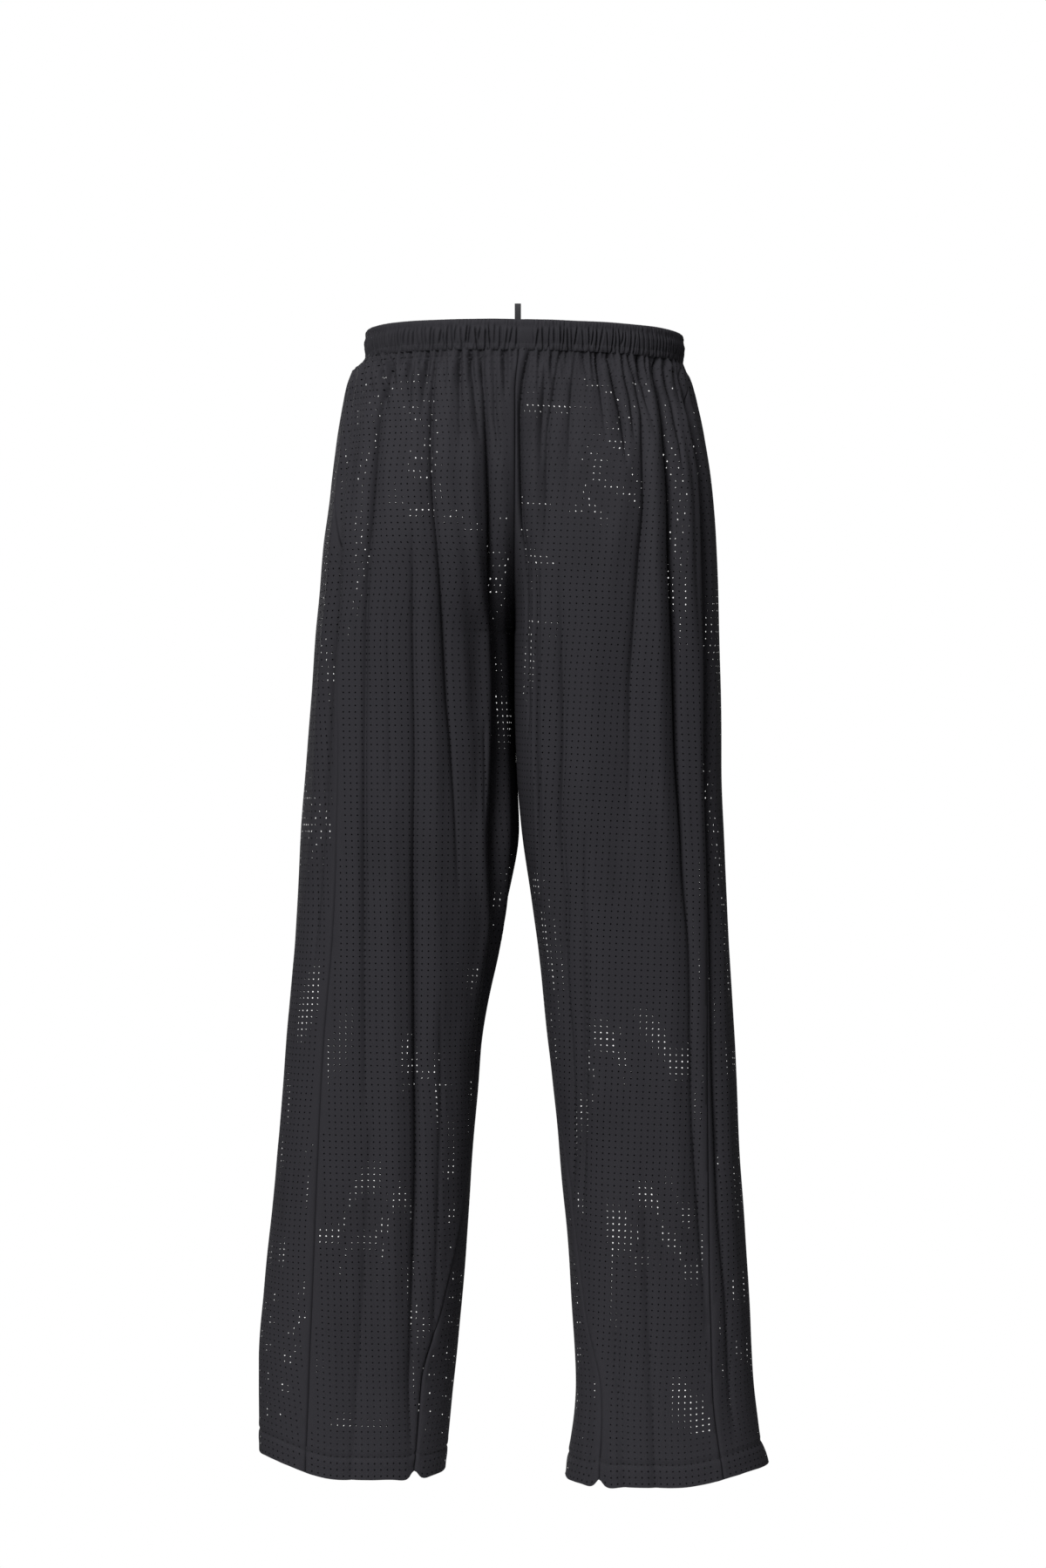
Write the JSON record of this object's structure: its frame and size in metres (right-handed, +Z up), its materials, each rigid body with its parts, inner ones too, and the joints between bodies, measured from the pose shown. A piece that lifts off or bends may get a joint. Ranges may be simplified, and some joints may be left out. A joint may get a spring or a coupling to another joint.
{
  "type": "joggers",
  "caption": "Loose straight joggers in perforated dark cloth, held in their worn shape, with a gathered elastic waistband, a back hanging loop and open turned-up hems.",
  "frame": {"origin": "the centre of the waistband ring, halfway up the band, where a waist holds the garment", "axes": "+Z up along the body, -Y towards the front that the wearer faces, +X towards the wearer's left"},
  "size_m": [0.454, 0.2462, 1.0451],
  "materials": {
    "cloth": "matt dark charcoal knit, perforated all over with small round holes",
    "casing": "the same matt cloth, doubled and gathered on its elastic",
    "tape": "matt woven tape"
  },
  "bodies": {
    "root": {"front_left": "cloth", "front_right": "cloth", "back_left": "cloth", "back_right": "cloth", "waistband": "casing", "hanging_loop": "tape"}
  },
  "joints": []
}
